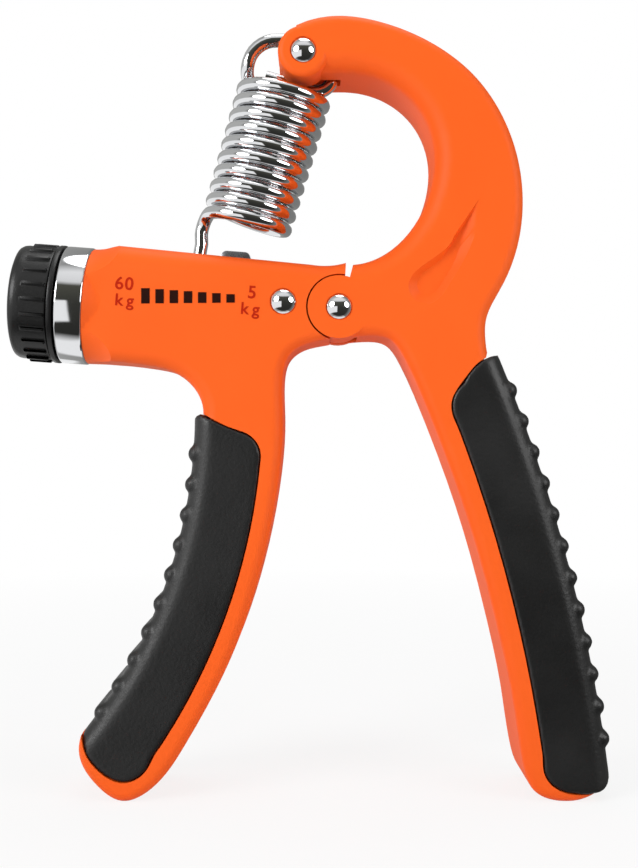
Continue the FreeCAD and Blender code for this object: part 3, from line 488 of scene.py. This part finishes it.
RIVET_BORE_R = 1.65                  # of whatever turns on a rivet
HINGE_BUSH_R = 2.9
HINGE_BUSH_HALF = 4.9
HINGE_WASHER_R = 5.0
HINGE_WASHER_FROM = 4.95             # the washer's two faces, from the middle plane
HINGE_WASHER_TO = 5.45
bush = lathe([(RIVET_BORE_R, -HINGE_BUSH_HALF), (HINGE_BUSH_R, -HINGE_BUSH_HALF),
              (HINGE_BUSH_R, HINGE_BUSH_HALF), (RIVET_BORE_R, HINGE_BUSH_HALF)], ease=0.15)
settle("turned_hinge_bush", stand(bush, crossways(hinge_at)), "left_arm", turned_steel,
       ["pivot_bush"])
washers = lathe([(RIVET_BORE_R, HINGE_WASHER_FROM), (HINGE_WASHER_R, HINGE_WASHER_FROM),
                 (HINGE_WASHER_R, HINGE_WASHER_TO), (RIVET_BORE_R, HINGE_WASHER_TO)], ease=0.08)
settle("nylon_hinge_washers", stand(both_ends(washers), crossways(hinge_at)), "left_arm",
       nylon, ["pivot_washers"])


# Adjusting screw
# A 5 mm steel screw with 0.8 mm pitch runs along the channel. Its plain journal turns in the front bush,
# held by a clip behind it and a nylon washer before it, and its plain tail turns in the rear block.

NOSE_R = 2.5                         # the knob sits on the nose, and its screw goes into the nose's hole
NOSE_FROM = -4.9
HOLE_R = 1.27
HOLE_TO = 0.6
JOURNAL_R = 3.0
JOURNAL_FROM = -0.6
JOURNAL_TO = 12.5
CLIP_SEAT_R = 2.6
CLIP_SEAT_FROM = 10.68
CLIP_SEAT_TO = 11.42
CREST_R = 2.5
ROOT_R = 2.06
THREAD_FROM = 12.9
CORE_TO = 39.4
TAIL_R = 1.5
TAIL_FROM = 40.0
TAIL_TO = 43.4
TAIL_CHAMFER = 0.2
screw = lathe([
    (HOLE_R, NOSE_FROM), (NOSE_R, NOSE_FROM), (NOSE_R, JOURNAL_FROM), (JOURNAL_R, JOURNAL_FROM),
    (JOURNAL_R, CLIP_SEAT_FROM), (CLIP_SEAT_R, CLIP_SEAT_FROM), (CLIP_SEAT_R, CLIP_SEAT_TO),
    (JOURNAL_R, CLIP_SEAT_TO), (JOURNAL_R, JOURNAL_TO), (ROOT_R, THREAD_FROM), (ROOT_R, CORE_TO),
    (TAIL_R, TAIL_FROM), (TAIL_R, TAIL_TO - TAIL_CHAMFER), (TAIL_R - TAIL_CHAMFER, TAIL_TO),
    (0.0, TAIL_TO), (0.0, HOLE_TO), (HOLE_R, HOLE_TO),
], steps=48)

THREAD_PITCH = 0.8
THREAD_TURNS = 32
THREAD_SIDES = 28
LAND_HALF = 0.05                     # half of the thread's flat crest
BEDDED = 0.05                        # how deep the thread's foot lies in the core
tooth = [screw.verts.new((r, 0, THREAD_FROM + z)) for r, z in (
    (ROOT_R - BEDDED, 0), (CREST_R, THREAD_PITCH / 2 - LAND_HALF), (CREST_R, THREAD_PITCH / 2 + LAND_HALF),
    (ROOT_R - BEDDED, THREAD_PITCH))]
flanks = [screw.edges.new(pair) for pair in zip(tooth, tooth[1:])]
bmesh.ops.spin(screw, geom=tooth + flanks, cent=(0, 0, 0), axis=(0, 0, 1), angle=math.tau * THREAD_TURNS,
               steps=THREAD_SIDES * THREAD_TURNS, dvec=(0, 0, THREAD_PITCH / THREAD_SIDES))
bmesh.ops.remove_doubles(screw, verts=screw.verts, dist=0.002)
settle("threaded_screw", stand(screw, adjuster), "knob_and_screw", turned_steel, ["adjusting_screw"],
       smooth_angle=25)


def eased(node, width):
    """A node's copy, its flat faces whole and its sharp edges rounded."""
    bm = from_node(node)
    bmesh.ops.dissolve_limit(bm, angle_limit=math.radians(0.5), verts=bm.verts, edges=bm.edges)
    relieve(bm, width * MM)
    return bm


settle("screw_clip", eased("retaining_clip", 0.08), "knob_and_screw", turned_steel,
       ["retaining_clip"])
THRUST_BORE_R = 3.06
THRUST_R = 5.8
THRUST_TO = -0.05                    # it begins where the journal does
washer = lathe([(THRUST_BORE_R, JOURNAL_FROM), (THRUST_R, JOURNAL_FROM), (THRUST_R, THRUST_TO),
                (THRUST_BORE_R, THRUST_TO)], ease=0.1)
settle("nylon_thrust_washer", stand(washer, adjuster), "knob_and_screw", nylon,
       ["thrust_washer"])


# Carriage and rear block
# The carriage is a steel nut with two ears, which the spring's lower loop pulls by a pin across them.
# The rear block is riveted into the channel's end. Both are sawn from bar, milled and zinc plated.

# Bright zinc plate: pale grey with a slight blue cast, milled marks showing through as a broad sheen.
MILL_MARK = 1.43
zinc, tree, out = blank("zinc_plated_steel")
place = add(tree, "ShaderNodeTexCoord")
marks = add(tree, "ShaderNodeTexNoise", {"Scale": 1 / (MILL_MARK * MM), "Detail": 3.0},
            {"Vector": place.outputs["Object"]})
shade = add(tree, "ShaderNodeMixRGB", {"Color1": tone("#B9BCC2"), "Color2": tone("#A2A5AB")},
            {"Fac": marks.outputs["Fac"]})
sheen = add(tree, "ShaderNodeMapRange", {"To Min": 0.22, "To Max": 0.36}, {"Value": marks.outputs["Fac"]})
body = add(tree, "ShaderNodeBsdfPrincipled", {"Metallic": 1.0},
           {"Base Color": shade.outputs["Color"], "Roughness": sheen.outputs["Result"]})
tree.links.new(body.outputs[0], out.inputs["Surface"])

PIN_R = 1.6
PIN_HALF = 3.6
settle("milled_carriage", eased("spring_carriage", 0.2), "carriage", zinc, ["spring_carriage"])
pin = lathe([(0.0, -PIN_HALF), (PIN_R, -PIN_HALF), (PIN_R, PIN_HALF), (0.0, PIN_HALF)], steps=40, ease=0.2)
pin_seat = crossways(centre_of("hook_pin"))
settle("carriage_pin", stand(pin, pin_seat), "carriage", turned_steel, ["hook_pin"])
settle("milled_rear_block", eased("end_block", 0.2), "left_arm", zinc, ["end_block"])


# Chrome ring
# A turned ring with rounded rims, polished, chrome plated and pressed on the housing's spigot. It covers
# the joint between the knob and the housing.

# Bright chrome over polished metal: a hard mirror, with the faint waviness of a plated surface.
PLATE_WAVE = 3.846
chrome, tree, out = blank("bright_chrome_plate")
place = add(tree, "ShaderNodeTexCoord")
waves = add(tree, "ShaderNodeTexNoise", {"Scale": 1 / (PLATE_WAVE * MM), "Detail": 2.0},
            {"Vector": place.outputs["Object"]})
bump = add(tree, "ShaderNodeBump", {"Strength": 0.05, "Distance": 0.1 * MM}, {"Height": waves.outputs["Fac"]})
body = add(tree, "ShaderNodeBsdfPrincipled",
           {"Base Color": tone("#E2E3E5"), "Metallic": 1.0, "Roughness": 0.07},
           {"Normal": bump.outputs["Normal"]})
tree.links.new(body.outputs[0], out.inputs["Surface"])

RING_R = 11.9
RING_BORE_R = 9.62
RING_LONG = 5.58
RIM_ROUND = 0.5
ring = lathe([(RING_BORE_R, 0.0), (RING_R, 0.0), (RING_R, RING_LONG), (RING_BORE_R, RING_LONG)], steps=128)
rims = [e for e in ring.edges if len(e.link_faces) == 2 and e.calc_face_angle(0) > math.radians(60)
        and all(v.co.xy.length > RING_R - RIM_ROUND for v in e.verts)]
bmesh.ops.bevel(ring, geom=rims, offset=RIM_ROUND, segments=5, profile=0.5, affect="EDGES", material=-1)
settle("plated_ring", stand(ring, adjuster), "left_arm", chrome, ["chrome_ring"])


# Knob
# One moulding in black nylon with 24 grip ribs, a smooth nose and a thin flange, screwed to the end of
# the adjusting screw through its middle and closed by a snap-in cap.

# Glass-filled nylon: near black, satin, with a sandy skin, drawn coarser than it is so that it shows.
GLASS_CLOUD = 11.1
SANDY_GRAIN = 0.385
black_nylon, tree, out = blank("moulded_black_nylon")
place = add(tree, "ShaderNodeTexCoord")
cloud = add(tree, "ShaderNodeTexNoise", {"Scale": 1 / (GLASS_CLOUD * MM), "Detail": 3.0},
            {"Vector": place.outputs["Object"]})
shade = add(tree, "ShaderNodeMixRGB", {"Color1": tone("#101010"), "Color2": tone("#191919")},
            {"Fac": cloud.outputs["Fac"]})
grain = add(tree, "ShaderNodeTexNoise", {"Scale": 1 / (SANDY_GRAIN * MM), "Detail": 2.0},
            {"Vector": place.outputs["Object"]})
bump = add(tree, "ShaderNodeBump", {"Strength": 0.2, "Distance": 0.1 * MM}, {"Height": grain.outputs["Fac"]})
body = add(tree, "ShaderNodeBsdfPrincipled", {"Roughness": 0.34, "IOR": 1.53, "Specular IOR Level": 0.35},
           {"Base Color": shade.outputs["Color"], "Normal": bump.outputs["Normal"]})
tree.links.new(body.outputs[0], out.inputs["Surface"])

KNOB_FRONT = -9.3
KNOB_BACK = -0.3
KNOB_R = 11.5
FLANGE_R = 12.0
FLANGE_FROM = -1.3
NECK_R = 10.9                        # of the fine groove before the flange
NECK_FROM = -1.6
HOLLOW_R = 5.0                       # of the hole through the knob, behind the cap
CAP_SEAT_R = 6.52
CAP_SEAT_DEPTH = 1.3
NOSE_ROUND = ((10.35, 0.0), (11.05, 0.28), (11.4, 0.9), (KNOB_R, 1.5))      # radius, and how far back
RIBS = 24
GROOVES_FROM = -6.6
GROOVES_TO = -1.9
GROOVE_DEPTH = 0.55
GROOVE_FLANK = 0.22
LANES = 8                            # faces round the knob for each rib
GROOVE_LANES = 2                     # how many of them the groove takes
outline = [(CAP_SEAT_R, KNOB_FRONT + CAP_SEAT_DEPTH), (CAP_SEAT_R, KNOB_FRONT)]
outline += [(r, KNOB_FRONT + back) for r, back in NOSE_ROUND]
outline += [
    (KNOB_R, GROOVES_FROM - 0.3), (KNOB_R, GROOVES_FROM), (KNOB_R, GROOVES_TO), (KNOB_R, NECK_FROM),
    (NECK_R, NECK_FROM), (NECK_R, FLANGE_FROM), (FLANGE_R, FLANGE_FROM), (FLANGE_R, KNOB_BACK),
    (HOLLOW_R, KNOB_BACK), (HOLLOW_R, KNOB_FRONT + CAP_SEAT_DEPTH),
]
knob = bmesh.new()
verts = [knob.verts.new((r, 0, z)) for r, z in outline]
edges = [knob.edges.new(pair) for pair in zip(verts, verts[1:])]
bmesh.ops.spin(knob, geom=verts + edges, cent=(0, 0, 0), axis=(0, 0, 1), angle=math.tau / RIBS, steps=LANES)
groove_angle = math.tau / RIBS * GROOVE_LANES / LANES
groove = []
for face in knob.faces:
    middle = face.calc_center_median()
    if GROOVES_FROM < middle.z < GROOVES_TO and middle.xy.length > NECK_R:
        if math.atan2(middle.y, middle.x) < groove_angle:
            groove.append(face)
bmesh.ops.inset_region(knob, faces=groove, thickness=GROOVE_FLANK, depth=-GROOVE_DEPTH, use_boundary=False,
                       use_even_offset=True)
bmesh.ops.spin(knob, geom=knob.verts[:] + knob.edges[:] + knob.faces[:], cent=(0, 0, 0), axis=(0, 0, 1),
               angle=math.tau * (RIBS - 1) / RIBS, steps=RIBS - 1, use_duplicate=True)
bmesh.ops.remove_doubles(knob, verts=knob.verts, dist=0.004)
bmesh.ops.recalc_face_normals(knob, faces=knob.faces)
relieve(knob, 0.12, sharper=38)
settle("ribbed_knob", stand(knob, adjuster), "knob_and_screw", black_nylon, ["knob"],
       smooth_angle=36)

CAP_R = 6.5
CAP_T = 1.28
CAP_FACE = ((0.0, 0.25), (3.4, 0.2), (4.0, 0.42), (4.5, 0.2), (5.9, 0.0), (6.35, 0.12), (CAP_R, 0.4))
cap = lathe([(r, KNOB_FRONT + back) for r, back in (*CAP_FACE, (CAP_R, CAP_T), (0.0, CAP_T))])
settle("snap_in_cap", stand(cap, adjuster), "knob_and_screw", black_nylon, ["knob_cap"])
settle("knob_fixing_screw", eased("knob_screw", 0.1), "knob_and_screw", turned_steel, ["knob_screw"])


# Rivets
# Three alike, domed at both ends and set in shallow round recesses: through the rear block, through the
# hinge, and through the hook's head where the spring's upper loop hangs. Polished and chrome plated.

SHANK_R = 1.6
HEAD_R = 2.55
HEAD_T = 1.2
SEAT = 10.05                         # from the middle to the underside of a head
DOME_STEPS = 9
ball_r = (HEAD_R ** 2 + HEAD_T ** 2) / (2 * HEAD_T)
for name, rides in (("block_rivet", "left_arm"), ("pivot_rivet", "right_arm"), ("top_rivet", "right_arm")):
    half = [(ball_r * math.sin(t), SEAT + HEAD_T - ball_r * (1 - math.cos(t)))
            for t in (math.asin(HEAD_R / ball_r) * i / DOME_STEPS for i in range(DOME_STEPS + 1))]
    half += [(HEAD_R, SEAT), (SHANK_R, SEAT), (SHANK_R, 0.0)]
    rivet = both_ends(lathe(half, steps=64, closed=False), merge=0.001)
    settle("domed_" + name, stand(rivet, crossways(centre_of(name))), rides, chrome, [name],
           smooth_angle=40)


# Sleeve and spacers
# A turned steel sleeve runs on the top rivet inside the spring's upper loop, with a nylon spacer at each
# side of it.

SLEEVE_R = 3.0
SLEEVE_HALF = 1.6
SPACER_R = 4.0
SPACER_FROM = 1.65                   # the spacer's two faces, from the middle plane
SPACER_TO = 2.15
hook_head = crossways(centre_of("top_rivet"))
sleeve = lathe([(RIVET_BORE_R, -SLEEVE_HALF), (SLEEVE_R, -SLEEVE_HALF), (SLEEVE_R, SLEEVE_HALF),
                (RIVET_BORE_R, SLEEVE_HALF)], steps=56, ease=0.15)
settle("turned_sleeve", stand(sleeve, hook_head), "loop_sleeve", turned_steel, ["spring_sleeve"])
spacers = lathe([(RIVET_BORE_R, SPACER_FROM), (SPACER_R, SPACER_FROM), (SPACER_R, SPACER_TO),
                 (RIVET_BORE_R, SPACER_TO)], steps=56, ease=0.08)
settle("nylon_spacers", stand(both_ends(spacers), hook_head), "loop_spacers", nylon,
       ["sleeve_spacers"])


# Spring
# Hard spring wire wound into ten close turns, with a closed loop bent at the top and an open one at the
# bottom, then chrome plated. It stretches between the upper rivet and the carriage's pin.

WIRE_R = 1.36
COIL_R_TOP = 8.4
COIL_R_LOW = 7.95
TURNS = 10
COIL_PITCH = 2.95
COIL_STEPS = 36                      # for each turn
NARROWING = (COIL_R_LOW - COIL_R_TOP) / (360.0 * TURNS)      # of its radius, each degree down the coil
FIRST_FRONT = 270.0                  # degrees down the wire from the left to where it first passes the front
LOOP_TURN = 22.0                     # degrees of the coil that each loop takes up
LOOP_ROOM = 1.55                     # from what a loop pulls on to the middle of its wire
COIL_MIDDLE = hinge_at + Vector((-15.0, 0, 30.95))
COIL_TILT = 16.2
to_world = Matrix.Translation(COIL_MIDDLE) @ Matrix.Rotation(math.radians(COIL_TILT), 4, "Y")
pull_top = to_world.inverted() @ hook_head.translation
pull_low = to_world.inverted() @ pin_seat.translation


class Wire:
    """A wire that grows from its start by straight runs and bends, as on a spring coiler."""

    STEPS_PER_RADIAN = 5

    def __init__(self, start, way, radius, sides=18):
        self.bm = bmesh.new()
        turn = way.to_track_quat("Z", "Y").to_matrix().to_4x4()
        made = bmesh.ops.create_circle(self.bm, segments=sides, radius=radius,
                                       matrix=Matrix.Translation(start) @ turn)
        self.ring = list({e for v in made["verts"] for e in v.link_edges})
        self.first = list(self.ring)

    def straight(self, move):
        """Goes straight on."""
        made = bmesh.ops.extrude_edge_only(self.bm, edges=self.ring)["geom"]
        verts = [g for g in made if isinstance(g, bmesh.types.BMVert)]
        bmesh.ops.translate(self.bm, verts=verts, vec=move)
        self.ring = [g for g in made if isinstance(g, bmesh.types.BMEdge)
                     and all(v in verts for v in g.verts)]

    def bend(self, centre, axis, angle, steps, climb=Vector(), narrowing=0.0):
        """Turns about an axis, and may climb along it at each step and come nearer to it on the way."""
        for _ in range(steps):
            made = bmesh.ops.spin(self.bm, geom=self.ring, cent=centre, axis=axis, dvec=climb,
                                  angle=angle / steps, steps=1)["geom_last"]
            self.ring = [g for g in made if isinstance(g, bmesh.types.BMEdge)]
            verts = [g for g in made if isinstance(g, bmesh.types.BMVert)]
            outward = sum((v.co for v in verts), Vector()) / len(verts) - centre
            outward = (outward - axis * outward.dot(axis)).normalized()
            bmesh.ops.translate(self.bm, verts=verts, vec=outward * (narrowing / steps))
            centre = centre + climb

    def sweep(self, start, way, end, end_way):
        """Two bends that leave start and reach end in the given directions."""
        way, end_way = way.normalized(), end_way.normalized()
        gap, both = end - start, way + end_way
        a, b, c = both.dot(both) - 4, -2 * gap.dot(both), gap.dot(gap)
        reach = -c / b if abs(a) < 1e-9 else (-b - math.sqrt(b * b - 4 * a * c)) / (2 * a)
        knees = (start + way * reach, end - end_way * reach)
        joint = (knees[0] + knees[1]) / 2
        for p, q, knee in ((start, joint, knees[0]), (joint, end, knees[1])):
            leave, arrive = (knee - p).normalized(), (q - knee).normalized()
            angle = leave.angle(arrive)
            if angle < 1e-4:
                self.straight(q - p)
                continue
            axis = leave.cross(arrive).normalized()
            inward = axis.cross(leave)
            radius = (q - p).length / (2 * math.sin(angle / 2))
            self.bend(p + inward * radius, axis, angle, max(2, round(self.STEPS_PER_RADIAN * angle)))

    def finish(self):
        """Closes both ends and gives the finished mesh."""
        for ring in (self.first, self.ring):
            bmesh.ops.contextual_create(self.bm, geom=ring)
        bmesh.ops.recalc_face_normals(self.bm, faces=self.bm.faces)
        return self.bm


def on_coil(turn):
    """A point of the coil's line and its direction; the turn grows down the coil from its left side."""
    u = math.radians(turn)
    height = COIL_PITCH * (TURNS - 1) / 2 - COIL_PITCH * (turn - FIRST_FRONT) / 360.0
    radius = COIL_R_TOP + NARROWING * turn
    point = Vector((-radius * math.cos(u), radius * math.sin(u), height))
    way = Vector((radius * math.sin(u), radius * math.cos(u), -COIL_PITCH / math.tau))
    way += Vector((-math.cos(u), math.sin(u), 0)) * math.degrees(NARROWING)
    return point, way.normalized()


up, down, right, left = Vector((0, 0, 1)), Vector((0, 0, -1)), Vector((1, 0, 0)), Vector((-1, 0, 0))

# The upper loop: a bar under the sleeve, a bend up at the right, over the sleeve and down at the left.
BAR_START_X = -4.6
BAR_CORNER = 3.0
CROWN_LEFT = 0.4                     # how far the crown lies left of the sleeve's middle
LIMB_OUT = 0.5                       # how far the loops' limbs stand out from the coil
LIMB_RISE = 3.4                      # from the coil's ends to where those limbs stand upright
bar_z = pull_top.z - SLEEVE_R - LOOP_ROOM
limb_x = COIL_R_TOP + 0.1
crown = Vector((pull_top.x - CROWN_LEFT, 0, pull_top.z + SLEEVE_R + LOOP_ROOM))
coil_top, coil_way = on_coil(LOOP_TURN)
shoulder = Vector((-COIL_R_TOP - LIMB_OUT, 0, coil_top.z + LIMB_RISE))
wire = Wire(Vector((BAR_START_X, 0, bar_z)), right, WIRE_R)
wire.straight(right * (limb_x - BAR_CORNER - BAR_START_X))
wire.sweep(Vector((limb_x - BAR_CORNER, 0, bar_z)), right, Vector((limb_x, 0, bar_z + BAR_CORNER)), up)
wire.sweep(Vector((limb_x, 0, bar_z + BAR_CORNER)), up, crown, left)
wire.sweep(crown, left, shoulder, down)
wire.sweep(shoulder, down, coil_top, coil_way)

# The coil, which narrows a little on its way down.
coil_turn = 360.0 * TURNS - 2 * LOOP_TURN
coil_steps = COIL_STEPS * TURNS
wire.bend(Vector((0, 0, 0)), down, math.radians(coil_turn), coil_steps,
          down * (COIL_PITCH * coil_turn / 360.0 / coil_steps), NARROWING * coil_turn)

# The lower loop: down at the left, round under the pin and up at the right, where it ends.
LOW_LEFT = Vector((-7.9, 0, 7.4))    # the sides of the loop, from its lowest point
LOW_RIGHT = Vector((7.4, 0, 7.4))
LEG_WAY = Vector((0.06, 0, -1))
TIP = 1.4
foot = Vector((pull_low.x, 0, pull_low.z - PIN_R - LOOP_ROOM))
coil_end, end_way = on_coil(360.0 * TURNS - LOOP_TURN)
leg = Vector((-COIL_R_LOW - LIMB_OUT, 0, coil_end.z - LIMB_RISE))
wire.sweep(coil_end, end_way, leg, LEG_WAY)
wire.sweep(leg, LEG_WAY, foot + LOW_LEFT, down)
wire.sweep(foot + LOW_LEFT, down, foot, right)
wire.sweep(foot, right, foot + LOW_RIGHT, up)
wire.straight(up * TIP)
bm = wire.finish()
bmesh.ops.transform(bm, matrix=Matrix.Scale(MM, 4) @ to_world, verts=bm.verts)
spring = settle("coil_spring", bm, None, chrome, ["spring"])
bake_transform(spring)

size = {"cad": [list(corner) for corner in cad_box], "visual": [list(corner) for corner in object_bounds()]}
